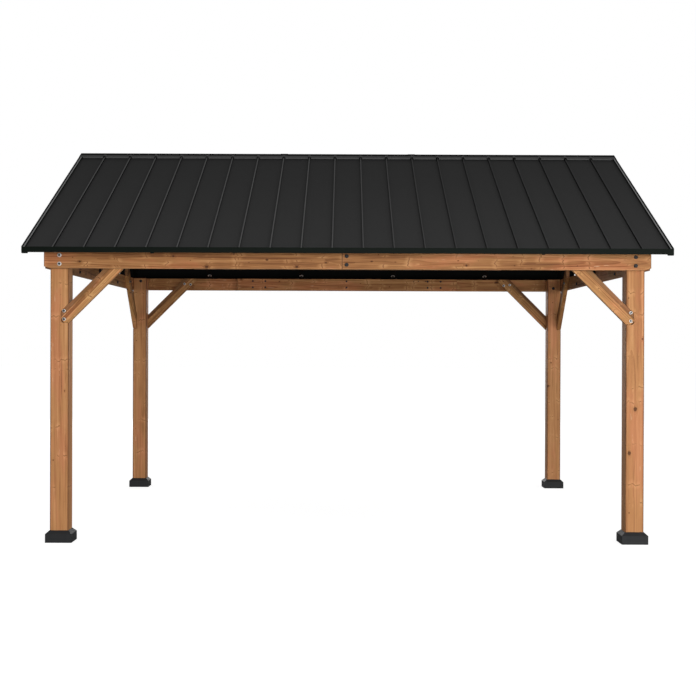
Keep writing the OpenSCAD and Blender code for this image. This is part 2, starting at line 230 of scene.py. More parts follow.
@dataclass(frozen=True)
class TimberFinish:
    """Stained softwood with rings, fibres, branch knots and painted light and shade on the
    arrises, cut from a log.
    """

    name: str
    slot: str
    light: Colour
    middle: Colour
    dark: Colour
    knot: Colour
    ring_gap: float
    knot_gap: float
    knots_round: float = 7.0
    # Painted light and shade on the arrises: above 0 a painted highlight, below 0 a painted shade.
    arris_shade: float = 0.35
    blush: Colour = (1.10, 0.92, 0.98)
    fleck: Colour = (0.80, 0.56, 0.36)
    lively: float = 1.0
    body: float = 0.53
    batch: str = "bole"
    drift: float = 0.030
    arris_reach: Point = (0.0095, 0.0030)
    end_reach: Point = (0.0060, 0.0020)
    scar_reach: Point = (0.0060, 0.0015)
    glow_reach: Point = (0.0450, 0.0050)
    specular: float = 0.15
    relief: float = 0.0007

    def material(self) -> bpy.types.Material:
        """Builds the finish.

        Returns:
            A material that reads the grain attributes of a timber.
        """
        sh = Shader(self.name)
        grain = sh.attribute("grain")
        wander = sh.vector("SUBTRACT", sh.drawn(grain, 1.1, 6.0, output="Color"), grey(0.5))
        wander = sh.vector("MULTIPLY", wander, (0.0, self.drift, self.drift))
        flow = sh.vector("ADD", grain, wander)
        heart, halo, swell = self._knots(sh, grain)
        late, ring_tone = self._rings(sh, flow, swell)
        scar, glow = self._whorls(sh, grain)
        fibre = sh.drawn(grain, 6.0, 240.0, 3.0, 0.6)
        streak = sh.drawn(flow, 0.8, 22.0, 4.0, 0.66)
        patch = sh.drawn(grain, 1.6, 5.0, 4.0, 0.6)
        vein = sh.drawn(flow, 0.55, 62.0, 1.5)
        pale = sh.drawn(flow, 0.9, 47.0, 1.5)
        fleck = sh.span(sh.drawn(grain, 11.0, 78.0), 0.66, 0.74)
        fleck = sh.times(fleck, sh.span(patch, 0.50, 0.62))
        crack = sh.span(sh.drawn(grain, 0.7, 70.0, 2.0, 0.4), 0.725, 0.765)
        value = sh.times(sh.attribute("tone", "Fac"), 0.05, self.body)
        for part, share in ((sh.span(streak, 0.33, 0.67, -0.5, 0.5), 0.34),
                            (sh.span(patch, 0.34, 0.66, -0.5, 0.5), 0.18),
                            (sh.math("SUBTRACT", fibre, 0.5), 0.55),
                            (sh.math("SUBTRACT", ring_tone, 0.5), 0.16),
                            (late, -0.26), (sh.span(vein, 0.585, 0.65), -0.26),
                            (sh.span(pale, 0.60, 0.68), 0.24), (halo, -0.20),
                            (glow, 0.32)):
            value = sh.times(part, share * self.lively, value)
        colour = sh.ramp(value, ((0.04, self.dark), (0.48, self.middle), (0.92, self.light)))
        colour = sh.mix(sh.span(patch, 0.47, 0.62), colour, self.blush, "MULTIPLY")
        a, b, from_end = self._inside(sh)
        arris = sh.math("MINIMUM", sh.math("MAXIMUM", a, b), from_end)
        arris = sh.math("MAXIMUM", sh.math("MINIMUM", a, b), arris)
        # Painted light and shade along the arrises: the light colour or the knot colour, by the
        # sign.
        painted_arris = sh.times(sh.span(arris, *self.arris_reach),
                          sh.span(streak, 0.30, 0.55, 0.55, 1.0))
        corner = self.light if self.arris_shade > 0 else self.knot
        for cover, share, stain in ((scar, 0.80, self.dark), (fleck, 0.45, self.fleck),
                                    (crack, 0.70, self.knot), (heart, 0.82, self.knot),
                                    (painted_arris, abs(self.arris_shade), corner),
                                    (sh.span(from_end, *self.end_reach), 0.62, self.knot)):
            colour = sh.mix(sh.times(cover, share), colour, stain)
        sh.coat({"Base Color": colour, "Roughness": sh.times(fibre, 0.2, 0.50),
                 "Specular IOR Level": self.specular})
        relief = sh.times(fibre, 0.6)
        for part, share in ((late, 0.4), (crack, -0.9), (heart, -0.3)):
            relief = sh.times(part, share, relief)
        sh.bump(relief, 0.5, self.relief)
        return sh.material

    def _rings(self, sh: Shader, flow: Socket, swell: Socket) -> tuple[Socket, Socket]:
        """Lays the year rings round the pith.

        Args:
            sh: The finish's shader.
            flow: The wood's own coordinates with the log's wander.
            swell: How far a knot pushes the rings outwards.

        Returns:
            The late wood from 0 to 1, and a tone for each ring.
        """
        from_pith = sh.math("SUBTRACT", self._from_pith(sh, flow), swell)
        rings = sh.times(sh.drawn(flow, 0.4, 14.0, 1.0), 3.0,
                         sh.math("DIVIDE", from_pith, self.ring_gap))
        tones = sh.node("ShaderNodeTexWhiteNoise", {"W": sh.math("FLOOR", rings)},
                        noise_dimensions="1D")
        return sh.math("POWER", sh.math("FRACT", rings), 2.6), tones.outputs["Value"]

    def _whorls(self, sh: Shader, grain: Socket) -> tuple[Socket, Socket]:
        """Marks the scars that whorls of branches leave across the grain.

        Args:
            sh: The finish's shader.
            grain: The wood's own coordinates.

        Returns:
            The thin broken scars, and the paler wood round them.
        """
        bend = sh.drawn(grain, 3.0, 30.0, 3.0)
        place = sh.times(bend, 0.085, sh.split(grain)[X])
        gap = self.knot_gap * 0.8
        cells = sh.node("ShaderNodeTexVoronoi",
                        {"W": sh.math("DIVIDE", place, gap), "Scale": 1.0},
                        voronoi_dimensions="1D")
        away = sh.times(cells.outputs["Distance"], gap)
        shown = sh.span(sh.drawn(grain, 6.0, 34.0), 0.47, 0.57)
        return (sh.times(sh.span(away, *self.scar_reach), shown),
                sh.times(sh.span(away, *self.glow_reach), shown))

    @staticmethod
    def _from_pith(sh: Shader, place: Socket) -> Socket:
        """Measures how far a point in the wood's own coordinates lies from the pith."""
        flat = sh.vector("MULTIPLY", place, (0.0, 1.0, 1.0))
        return sh.node("ShaderNodeVectorMath", {0: flat}, operation="LENGTH").outputs["Value"]

    def _knots(self, sh: Shader, grain: Socket) -> tuple[Socket, Socket, Socket]:
        """Grows branches out of the pith: round on a face, long where a cut runs along one.

        Args:
            sh: The finish's shader.
            grain: The wood's own coordinates.

        Returns:
            The knots' dark hearts, their halos and their push on the rings.
        """
        u, v, w = sh.split(grain)
        radius = self._from_pith(sh, grain)
        turn = sh.times(sh.math("ARCTAN2", w, v), self.knots_round / math.tau)
        fed = {"X": sh.math("DIVIDE", u, self.knot_gap), "Y": turn}
        place = sh.node("ShaderNodeCombineXYZ", fed).outputs[0]
        cells = sh.node("ShaderNodeTexVoronoi", {"Vector": place, "Scale": 1.0},
                        voronoi_dimensions="2D")
        away = sh.split(sh.vector("SUBTRACT", place, cells.outputs["Position"]))
        along = sh.times(away[X], self.knot_gap)
        across = sh.times(away[Y], math.tau / self.knots_round)
        across = sh.times(across, radius)
        chance = sh.split(cells.outputs["Color"])[X]
        size = sh.times(radius, sh.span(chance, 0.50, 1.0, 0.028, 0.100))
        ragged = sh.times(sh.math("SUBTRACT", sh.noise(grain, 90.0, 3.0), 0.5), 0.9)
        near = sh.math("ADD", self._reach(sh, along, across, size, 1.25), ragged)
        wide = self._reach(sh, along, across, size, 1.9)
        swell = sh.times(sh.times(sh.span(wide, 2.6, 0.2), size), 1.5)
        return sh.span(near, 1.15, 0.75), sh.span(wide, 2.1, 0.8), swell

    @staticmethod
    def _reach(sh: Shader, along: Socket, across: Socket, size: Socket,
               stretch: float) -> Socket:
        """Measures the way from a knot's middle in radii of the knot.

        Args:
            sh: The finish's shader.
            along: The way along the grain in metres.
            across: The way across the grain in metres.
            size: The knot's radius.
            stretch: How much longer the form is along the grain.

        Returns:
            The distance, 1 on the knot's rim.
        """
        run = sh.math("DIVIDE", along, stretch)
        square = sh.times(run, run, sh.times(across, across))
        return sh.math("DIVIDE", sh.math("SQRT", square), size)

    @staticmethod
    def _inside(sh: Shader) -> list[Socket]:
        """Measures a point's depth below the faces on both axes and from the nearer end."""
        from_middle = sh.vector("ABSOLUTE", sh.attribute("across"))
        return sh.split(sh.vector("SUBTRACT", sh.attribute("half"), from_middle))


@dataclass(frozen=True)
class CoatedSteel:
    """Powder-coated sheet: fine orange peel, faint dust and slow waves in the sheet."""

    name: str
    slot: str
    base: Colour
    dust: Colour
    dust_share: float = 0.25
    roughness: float = 0.50
    specular: float = 0.05
    wave: float = 0.0
    # Reach of the painted shade along the crest, out from the ridge; 0 leaves it out.
    crest: float = 0.0
    # Whether faces that point down get painted shade.
    dark_below: bool = False
    # Where the painted highlight along the rake's fold runs, as its distance from the middle along
    # X; 0 leaves it out.
    worn_fold: float = 0.0
    fold_reach: Point = (0.0058, 0.0032)
    eave_dust: float = 0.0
    eave_fall: Point = (3.05, 2.05)
    pan_plane: Point = (0.0, 0.0)
    seam_rise: Point = (0.004, 0.010)
    # Colour of the painted shade on the crest and on the seams' flanks.
    shade: Colour = grey(0.0015)
    # Colour of the painted highlight on the seams' tops.
    rubbed: Colour = grey(0.110)
    # Colour of the painted highlight along the rake's fold.
    bare: Colour = grey(0.24)
    dulled: Colour = grey(0.048)
    # Colour of the painted shade on faces that point down.
    underside: Colour = (0.0030, 0.0033, 0.0031)
    relief: float = 0.001

    def material(self) -> bpy.types.Material:
        """Builds the finish.

        Returns:
            A material in the row frame's own coordinates.
        """
        sh = Shader(self.name)
        place = sh.place()
        cloud = sh.span(sh.noise(place, 2.3, 5.0, 0.6), 0.32, 0.72)
        runs = sh.span(sh.drawn(place, 17.0, 0.9, 3.0, 0.55), 0.35, 0.7)
        speck = sh.span(sh.noise(place, 150.0), 0.70, 0.78)
        film = sh.times(runs, 0.4, sh.times(cloud, 0.6))
        film = sh.times(film, self.dust_share, sh.times(speck, 0.08))
        sh.coat({"Base Color": self._worn(sh, place, sh.mix(film, self.base, self.dust)),
                 "Roughness": sh.times(film, 0.25, self.roughness),
                 "Specular IOR Level": self.specular})
        relief = sh.times(sh.noise(place, 420.0), 0.12)
        if self.wave:
            relief = sh.times(sh.drawn(place, 4.6, 1.3, 1.0), self.wave, relief)
        sh.bump(relief, 0.35, self.relief)
        return sh.material

    def _worn(self, sh: Shader, place: Socket, colour: Socket) -> Socket:
        """Lays dust near the eave, painted shade and painted highlights over the coat, where the
        piece has them.

        Args:
            sh: The finish's shader.
            place: The point in the row frame.
            colour: The coat's colour.

        Returns:
            The colour with its dust, painted shade and painted highlights.
        """
        x, y, z = sh.split(place)
        if self.eave_dust:
            fall = sh.span(z, *self.eave_fall, 0.0, self.eave_dust)
            colour = sh.mix(fall, colour, self.dulled)
        # Painted shade: a dark band along the crest.
        if self.crest:
            fold = sh.span(sh.math("ABSOLUTE", y), self.crest, self.crest * 0.7)
            colour = sh.mix(fold, colour, self.shade)
        # Painted highlight on the seams' tops, strongest towards the left end, and painted shade
        # on their flanks.
        if self.pan_plane[0]:
            ridge, fall = self.pan_plane
            pan = sh.math("SUBTRACT", ridge, sh.times(sh.math("ABSOLUTE", y), fall))
            proud = sh.span(sh.math("SUBTRACT", z, pan), *self.seam_rise)
            rubbed = sh.times(proud, sh.span(x, 1.0, -0.5, 0.10, 0.85))
            flank_shade = sh.span(sh.math("ABSOLUTE", sh.facing()[X]), 0.2, 0.5)
            colour = sh.mix(flank_shade, sh.mix(rubbed, colour, self.rubbed), self.shade)
        # Painted highlight: a light line along the rake trim's fold.
        if self.worn_fold:
            from_fold = sh.math("SUBTRACT", sh.math("ABSOLUTE", x), self.worn_fold)
            fold_highlight_band = sh.span(sh.math("ABSOLUTE", from_fold), *self.fold_reach)
            colour = sh.mix(fold_highlight_band, colour, self.bare)
        # Painted shade: faces that point down are darkened.
        if self.dark_below:
            colour = sh.mix(sh.span(sh.facing()[Z], -0.3, -0.7), colour, self.underside)
        return colour


@dataclass(frozen=True)
class ZincSteel:
    """Zinc-plated fastener steel with cloudy plating."""

    name: str
    slot: str
    base: Colour
    roughness: float
    metallic: float = 1.0
    relief: float = 0.0003

    def material(self) -> bpy.types.Material:
        """Builds the finish.

        Returns:
            A material in the row frame's own coordinates.
        """
        sh = Shader(self.name)
        place = sh.place()
        cloud = sh.noise(place, 90.0, 4.0, 0.6)
        sh.coat({"Base Color": sh.vector("MULTIPLY", self.base, sh.times(cloud, 0.5, 0.72)),
                 "Metallic": self.metallic,
                 "Roughness": sh.times(cloud, 0.2, self.roughness)})
        sh.bump(sh.noise(place, 700.0), 0.15, self.relief)
        return sh.material


Finish = TimberFinish | CoatedSteel | ZincSteel
POST_WOOD = TimberFinish(
    "stained_post", "post_wood", (0.650, 0.345, 0.146), (0.485, 0.222, 0.086),
    (0.260, 0.104, 0.036), (0.075, 0.026, 0.010), ring_gap=0.0085, knot_gap=0.30,
    knots_round=6.0, arris_shade=-0.80, blush=(1.04, 0.91, 1.0), lively=0.66, body=0.52)
BEAM_WOOD = TimberFinish(
    "stained_beam", "beam_wood", (0.555, 0.290, 0.120), (0.395, 0.178, 0.064),
    (0.190, 0.070, 0.023), (0.055, 0.018, 0.008), ring_gap=0.0075, knot_gap=0.22)
BRACE_WOOD = TimberFinish(
    "stained_brace", "brace_wood", (0.660, 0.368, 0.150), (0.465, 0.228, 0.082),
    (0.220, 0.084, 0.028), (0.055, 0.019, 0.009), ring_gap=0.0070, knot_gap=0.24,
    arris_shade=-0.62, batch="stem")
BASE_COAT = CoatedSteel("base_coat", "base_cover", (0.025, 0.026, 0.0275), (0.052, 0.052, 0.051),
                        dust_share=0.3, specular=0.12)
FRAME_COAT = CoatedSteel("frame_coat", "frame_steel", (0.0030, 0.0034, 0.0034), grey(0.0070),
                         dust_share=0.2, roughness=0.62, dark_below=True)
ROOF_COAT = CoatedSteel("roof_coat", "roof_steel", grey(0.0280), grey(0.041), dust_share=0.3,
                        roughness=0.55, wave=1.2, dark_below=True, eave_dust=0.55,
                        pan_plane=(3.0353, 0.4791))
TRIM_COAT = CoatedSteel("trim_coat", "trim_steel", (0.0040, 0.0066, 0.0045),
                        (0.010, 0.013, 0.011), dark_below=True)
# Painted reflection: the cap's coat is lighter than the roof's, for the light that its wing
# reflects.
CAP_COAT = CoatedSteel("cap_coat", "trim_steel", grey(0.066), grey(0.080), specular=0.04,
                       crest=0.060)
RAKE_COAT = CoatedSteel("rake_coat", "trim_steel", (0.0040, 0.0050, 0.0045),
                        (0.010, 0.011, 0.010), specular=0.06, dark_below=True, worn_fold=2.2665)
WASHER_ZINC = ZincSteel("washer_zinc", "frame_steel", (0.62, 0.60, 0.58), roughness=0.45)
BOLT_STEEL = ZincSteel("bolt_steel", "frame_steel", (0.010, 0.0095, 0.0095), roughness=0.55,
                       metallic=0.0)


@cache
def material_of(finish: Finish) -> bpy.types.Material:
    """Gives a finish's material, which is built once."""
    return finish.material()


def show(name: str, data: bpy.types.ID) -> bpy.types.Object:
    """Adds an object to the scene.

    Args:
        name: Its name.
        data: Its mesh, lamp or camera.

    Returns:
        The object.
    """
    made = bpy.data.objects.new(name, data)
    bpy.context.scene.collection.objects.link(made)
    return made


def solid(mesh: Mesh, name: str) -> bpy.types.Object:
    """Turns a mesh into an object with its faces turned outwards.

    Args:
        mesh: The mesh, which is freed.
        name: The object's name.

    Returns:
        The object.
    """
    bmesh.ops.recalc_face_normals(mesh, faces=mesh.faces)
    data = bpy.data.meshes.new(name)
    mesh.to_mesh(data)
    mesh.free()
    return show(name, data)


def set_down(mesh: Mesh, name: str, finishes: Sequence[Finish],
             replaces: Iterable[str] = ()) -> bpy.types.Object:
    """Turns a finished mesh into a piece of the object.

    Args:
        mesh: The mesh in the row frame, which is freed.
        name: The piece's name.
        finishes: Its finishes.
        replaces: The nodes that it stands for.

    Returns:
        The new piece.
    """
    piece = solid(mesh, name)
    piece.data.shade_smooth()
    piece.data.set_sharp_from_angle(angle=math.radians(42))
    for finish in finishes:
        piece.data.materials.append(material_of(finish))
    even = piece.modifiers.new("even_shading", "WEIGHTED_NORMAL")
    even.keep_sharp = True
    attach(piece, "root")
    if replaces:
        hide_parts(*replaces)
    LOG.info("piece %s: %d faces", name, len(piece.data.polygons))
    return piece


def loft(mesh: Mesh, outlines: Sequence[Sequence[Vector]]) -> list[bmesh.types.BMFace]:
    """Adds a closed form that runs through a row of outlines.

    Args:
        mesh: The mesh to add to.
        outlines: The corners at each place, as many in each.

    Returns:
        The form's faces.
    """
    rings = [[mesh.verts.new(corner) for corner in outline] for outline in outlines]
    faces = [mesh.faces.new(rings[-1]), mesh.faces.new(rings[0][::-1])]
    for low, high in zip(rings, rings[1:]):
        for i in range(len(low)):
            j = (i + 1) % len(low)
            faces.append(mesh.faces.new((low[i], low[j], high[j], high[i])))
    return faces


def prism(mesh: Mesh, outline: Sequence[Vector], step: Vector) -> None:
    """Adds a prism from the corners of one end and the way to the other."""
    loft(mesh, (outline, [corner + step for corner in outline]))


def rounded(width: float, height: float, radius: float, parts: int = 3) -> list[Point]:
    """Lays out a rectangle with rounded corners.

    Args:
        width: Its width.
        height: Its height.
        radius: The corner's radius.
        parts: The number of flats in a corner.

    Returns:
        The corners of the outline in order.
    """
    points: list[Point] = []
    for turn, (sx, sy) in enumerate(((1, 1), (-1, 1), (-1, -1), (1, -1))):
        cx, cy = sx * (width / 2 - radius), sy * (height / 2 - radius)
        for i in range(parts + 1):
            angle = math.pi / 2 * (turn + i / parts)
            points.append((cx + radius * math.cos(angle), cy + radius * math.sin(angle)))
    return points


@dataclass
class Timber:
    """One straight timber with rounded arrises, eased ends and its own grain."""

    name: str
    start: Vector
    finish_at: Vector
    wide: Vector
    width: float
    depth: float
    finish: TimberFinish
    cut: Grain = Grain.FLAT_BOARD
    arris: float = 0.002
    ease: float = 0.0012
    cutters: Sequence[Mesh] = ()

    @property
    def along(self) -> Vector:
        """The direction of the grain."""
        return (self.finish_at - self.start).normalized()

    @property
    def thick(self) -> Vector:
        """The direction across the width."""
        return self.along.cross(self.wide).normalized()

    def build(self) -> None:
        """Builds the timber with its cuts, as the piece that stands for the node of its name."""
        length = (self.finish_at - self.start).length
        outlines = []
        for place, inset in ((0.0, self.ease), (self.ease, 0.0), (length - self.ease, 0.0),
                             (length, self.ease)):
            middle = self.start + self.along * place
            corners = rounded(self.width - 2 * inset, self.depth - 2 * inset, self.arris)
            outlines.append([middle + self.wide * a + self.thick * b for a, b in corners])
        mesh = bmesh.new()
        loft(mesh, outlines)
        piece = set_down(self._cut(mesh), f"{self.name}_timber", (self.finish,), (self.name,))
        self.mark_grain(piece.data)

    def _cut(self, mesh: Mesh) -> Mesh:
        """Cuts the housings and corners out of the timber.

        Args:
            mesh: The uncut timber, which is freed if it is cut.

        Returns:
            The cut timber.
        """
        for number, cutter in enumerate(self.cutters):
            body, tool = solid(mesh, f"body_{number}"), solid(cutter, f"cutter_{number}")
            taken = body.modifiers.new("cut", "BOOLEAN")
            taken.operation, taken.solver, taken.object = "DIFFERENCE", "EXACT", tool
            bpy.context.view_layer.update()
            evaluated = body.evaluated_get(bpy.context.evaluated_depsgraph_get())
            mesh = bmesh.new()
            mesh.from_mesh(evaluated.data)
            bmesh.ops.remove_doubles(mesh, verts=mesh.verts, dist=1e-5)
            for spare in (body, tool):
                data = spare.data
                bpy.data.objects.remove(spare)
                bpy.data.meshes.remove(data)
        return mesh

    def mark_grain(self, data: bpy.types.Mesh) -> None:
        """Writes the grain into the mesh: every timber gets its own pith, drift and tone.

        Args:
            data: The timber's mesh.
        """
        chance = random.Random(f"{self.name} {self.finish.batch}")
        if self.cut is Grain.BOXED_POST:
            pith = Vector((chance.uniform(0.02, 0.07) * chance.choice((-1, 1)),
                           chance.uniform(0.02, 0.07) * chance.choice((-1, 1))))
        else:
            pith = Vector((chance.uniform(-0.03, 0.03),
                           chance.uniform(0.05, 0.11) * chance.choice((-1, 1))))
        lean = Vector((chance.uniform(-0.012, 0.012), chance.uniform(-0.02, 0.02)))
        offset, tone = chance.uniform(3.0, 90.0), chance.uniform(-1.0, 1.0)
        middle = (self.start + self.finish_at) / 2
        half = (self.width / 2, self.depth / 2, (self.finish_at - self.start).length / 2)
        grain, across = [], []
        for vertex in data.vertices:
            from_middle = vertex.co - middle
            u = from_middle.dot(self.along)
            a, b = from_middle.dot(self.wide), from_middle.dot(self.thick)
            grain.extend((u + offset, a + pith.x + lean.x * u, b + pith.y + lean.y * u))
            across.extend((a, b, u))
        for name, values in (("grain", grain), ("across", across),
                             ("half", half * len(data.vertices))):
            marks = data.attributes.new(name, "FLOAT_VECTOR", "POINT")
            marks.data.foreach_set("vector", values)
        tones = data.attributes.new("tone", "FLOAT", "POINT")
        tones.data.foreach_set("value", [tone] * len(data.vertices))


@dataclass
class KneeBrace:
    """One housed knee brace, in the plane of a long side or of an end."""

    name: str
    corner: Vector
    inward: Vector
    plumb_tip: bool = False
    width: float = 0.096
    node_seat: float = 0.042
    seat: float = 0.056
    clip: float = 0.013
    fit: float = 0.0016
    past: float = 0.010
    arris: float = 0.0018
    grain_share: float = 0.72

    def outline(self, grow: float = 0.0) -> list[Vector]:
        """Lays out the brace in its own plane, from the numbers of its node's box.

        Args:
            grow: How much bigger the outline is on every side.

        Returns:
            The corners of its outer face.
        """
        low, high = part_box(self.name)
        foot, top = low.z, high.z
        diagonal = self.width * math.sqrt(2.0)
        span = (high - low).dot(Vector(map(abs, self.inward)))
        reach, seat = span - self.node_seat, self.seat
        g, slant = grow, grow * math.sqrt(2.0)
        corners = [(0.0, foot - slant), (self.clip - seat - g, foot - g),
                   (-seat - g, foot + self.clip - g),
                   (-seat - g, foot + diagonal - seat + slant - g)]
        if self.plumb_tip:
            corners += [(reach + g, foot + diagonal + reach + slant + g)]
        else:
            corners += [(top - foot - diagonal - slant, top), (reach + g, top)]
        corners += [(reach + g, foot + reach + g - slant)]
        base = Vector((self.corner.x, self.corner.y, 0.0))
        return [base + self.inward * u + UP * z for u, z in corners]

    def through(self) -> Vector:
        """Gives the way through the brace's thickness.

        Returns:
            The step from its outer face to its inner one.
        """
        low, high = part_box(self.name)
        flat = self.inward.cross(UP)
        sign = 1.0 if ((low + high) / 2 - self.corner).dot(flat) > 0 else -1.0
        return flat * sign * abs((high - low).dot(flat))

    def housing(self) -> Mesh:
        """Builds the cutter for the brace's housing in its post.

        Returns:
            The cutter's mesh, a hair bigger than the brace.
        """
        mesh = bmesh.new()
        step = self.through()
        way = step.normalized()
        prism(mesh, [corner - way * self.past for corner in self.outline(self.fit)],
              way * (step.length + self.past + self.fit))
        return mesh

    def build(self) -> None:
        """Builds the brace with eased arrises."""
        mesh = bmesh.new()
        step = self.through()
        prism(mesh, self.outline(), step)
        bmesh.ops.recalc_face_normals(mesh, faces=mesh.faces)
        bmesh.ops.bevel(mesh, geom=list(mesh.edges), offset=self.arris, segments=2, profile=0.5,
                        affect="EDGES", clamp_overlap=True)
        piece = set_down(mesh, f"{self.name}_timber", (BRACE_WOOD,), (self.name,))
        low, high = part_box(self.name)
        middle = (low + high) / 2
        half = (self.inward + UP).normalized() * (high.z - low.z) * self.grain_share
        log = Timber(self.name, middle - half, middle + half, step.normalized(), step.length,
                     self.width, BRACE_WOOD)
        log.mark_grain(piece.data)


@dataclass
class TimberFrame:
    """Posts, beams, splice boards and knee braces."""

    post_arris: float = 0.0045
    post_ease: float = 0.002
    clip_length: float = 0.050
    clip_height: float = 0.013
    past: float = 0.004

    def build(self) -> None:
        """Builds every timber."""
        for end in End:
            for side in Side:
                self._corner(end, side)
        for side in Side:
            for end in End:
                self._long_beam(side, end)
            self._board(f"splice_{side.word}", X)
        for end in End:
            self._board(f"beam_{end.word}", Y)

    def _corner(self, end: End, side: Side) -> None:
        """Builds a post and its two braces.

        Args:
            end: The end that it stands at.
            side: The side that it stands at.
        """
        name = f"post_{side.word}_{end.word}"
        x, y = end.value, side.value
        braces = (KneeBrace(f"brace_{side.word}_{end.word}",
                            Vector((edge(name, X, -x), edge(name, Y, y), 0)), Vector((-x, 0, 0))),
                  KneeBrace(f"brace_{end.word}_{side.word}",
                            Vector((edge(name, X, x), edge(name, Y, -y), 0)), Vector((0, -y, 0)),
                            plumb_tip=True))
        low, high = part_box(name)
        middle = (low + high) / 2
        Timber(name, Vector((middle.x, middle.y, low.z)), Vector((middle.x, middle.y, high.z)),
               Vector((1, 0, 0)), high.x - low.x, high.y - low.y, POST_WOOD, Grain.BOXED_POST,
               self.post_arris, self.post_ease, [brace.housing() for brace in braces]).build()
        for brace in braces:
            brace.build()

    def _long_beam(self, side: Side, end: End) -> None:
        """Builds half of a long beam with its clipped corner.

        Args:
            side: The beam's side.
            end: The half's end.
        """
        name = f"beam_{side.word}_{end.word}"
        low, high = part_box(name)
        tip, past = edge(name, X, end.value), self.past
        run, rise = self.clip_length, self.clip_height
        corners = ((-past, -past), (run * (1 + past / rise), -past),
                   (-past, rise * (1 + past / run)))
        mesh = bmesh.new()
        prism(mesh, [Vector((tip - end.value * u, low.y - past, low.z + v)) for u, v in corners],
              Vector((0, high.y - low.y + 2 * past, 0)))
        self._board(name, X, [mesh])

    @staticmethod
    def _board(name: str, axis: int, cutters: Sequence[Mesh] = ()) -> None:
        """Builds a board on its edge, of its node's size.

        Args:
            name: The node that it stands for.
            axis: The axis that it runs along.
            cutters: What is cut out of it.
        """
        low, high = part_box(name)
        start, stop = (low + high) / 2, (low + high) / 2
        start[axis], stop[axis] = low[axis], high[axis]
        Timber(name, start, stop, UP, high.z - low.z, high[1 - axis] - low[1 - axis],
               BEAM_WOOD, cutters=cutters).build()


class BoltKind(Enum):
    """The bolt patterns in use: washer radius, head radius and head height in metres."""

    BLACK = (0.0145, 0.0110, 0.0065)
    SILVER = (0.0150, 0.0085, 0.0060)
    SMALL = (0.0095, 0.0065, 0.0045)
    BRIGHT = (0.0120, 0.0075, 0.0050)
    FOOT = (0.0200, 0.0110, 0.0070)
    PLUG = (0.0000, 0.0055, 0.0020)


@dataclass
class Bolt:
    """A hex bolt head on a round washer."""

    place: Vector
    out: Vector
    kind: BoltKind = BoltKind.BLACK
    lift: float = 0.0025
    washer_ease: float = 0.0012
    washer_sides: int = 24

    def add_to(self, mesh: Mesh) -> None:
        """Adds the washer and head: bright washers in the first finish, the rest in the second.

        Args:
            mesh: The mesh to add to.
        """
        washer, head, height = self.kind.value
        lift = self.lift
        bright = self.kind in (BoltKind.SILVER, BoltKind.BRIGHT, BoltKind.FOOT)
        if washer:
            profile = ((washer, 0.0), (washer, lift * 0.6), (washer - self.washer_ease, lift),
                       (head, lift))
            self._turned(mesh, profile, self.washer_sides, 0 if bright else 1)
        profile = ((head, lift * 0.8), (head, lift + height * 0.8), (head * 0.86, lift + height))
        self._turned(mesh, profile, 6, 1)

    def _turned(self, mesh: Mesh, profile: Sequence[Point], count: int, slot: int) -> None:
        """Adds a turned or faceted form that is closed on top.

        Args:
            mesh: The mesh to add to.
            profile: Radius and height pairs from the foot up.
            count: The number of sides.
            slot: The index of its finish.
        """
        side = self.out.orthogonal().normalized()
        up = self.out.cross(side)
        turns = [math.tau * i / count for i in range(count)]
        for face in loft(mesh, [[self.place + self.out * rise + side * radius * math.cos(turn)
                                 + up * radius * math.sin(turn) for turn in turns]
                                for radius, rise in profile]):
            face.material_index = slot


